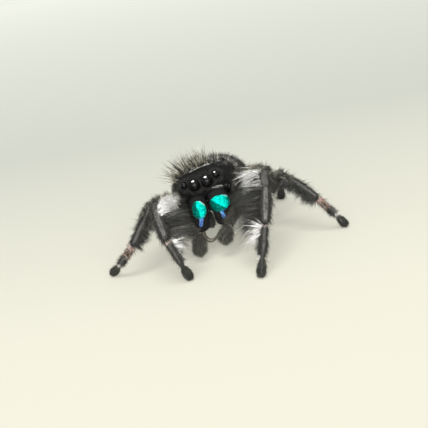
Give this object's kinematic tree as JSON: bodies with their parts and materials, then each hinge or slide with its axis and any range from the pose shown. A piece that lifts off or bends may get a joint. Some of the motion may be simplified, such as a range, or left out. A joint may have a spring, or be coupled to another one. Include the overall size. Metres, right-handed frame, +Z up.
{
  "type": "jumping spider",
  "caption": "Life-size adult male jumping spider, velvety black with white tufts and metallic green jaws, standing alert with its head turned to the viewer.",
  "frame": {"origin": "on the ground under the middle of the whole animal, legs included", "axes": "+Z up; the spider looks along -Y; +X is towards its left side"},
  "size_m": [0.0166, 0.0184, 0.0067],
  "materials": {
    "coat": "velvety black hair over dark cuticle, with white tufts and copper scales",
    "lens": "glassy black eye lens",
    "jaw": "metallic blue-green iridescent",
    "fang": "polished dark brown"
  },
  "bodies": {
    "root": {"abdomen": "coat", "carapace": "coat", "chelicera_left": "jaw", "chelicera_right": "jaw", "fang_left": "fang", "fang_right": "fang", "front_middle_eye_left": "lens", "front_middle_eye_right": "lens", "front_side_eye_left": "lens", "front_side_eye_right": "lens", "leg_1_left_coxa": "coat", "leg_1_left_femur": "coat", "leg_1_left_tarsus": "coat", "leg_1_left_tibia": "coat", "leg_1_right_coxa": "coat", "leg_1_right_femur": "coat", "leg_1_right_tarsus": "coat", "leg_1_right_tibia": "coat", "leg_2_left_coxa": "coat", "leg_2_left_femur": "coat", "leg_2_left_tarsus": "coat", "leg_2_left_tibia": "coat", "leg_2_right_coxa": "coat", "leg_2_right_femur": "coat", "leg_2_right_tarsus": "coat", "leg_2_right_tibia": "coat", "leg_3_left_coxa": "coat", "leg_3_left_femur": "coat", "leg_3_left_tarsus": "coat", "leg_3_left_tibia": "coat", "leg_3_right_coxa": "coat", "leg_3_right_femur": "coat", "leg_3_right_tarsus": "coat", "leg_3_right_tibia": "coat", "leg_4_left_coxa": "coat", "leg_4_left_femur": "coat", "leg_4_left_tarsus": "coat", "leg_4_left_tibia": "coat", "leg_4_right_coxa": "coat", "leg_4_right_femur": "coat", "leg_4_right_tarsus": "coat", "leg_4_right_tibia": "coat", "maxilla_left": "coat", "maxilla_right": "coat", "palp_club_left": "coat", "palp_club_right": "coat", "palp_left": "coat", "palp_right": "coat", "pedicel": "coat", "rear_eye_left": "lens", "rear_eye_right": "lens", "small_eye_left": "lens", "small_eye_right": "lens", "spinneret_lower_left": "coat", "spinneret_lower_right": "coat", "spinneret_upper_left": "coat", "spinneret_upper_right": "coat", "sternum": "coat"}
  },
  "joints": []
}
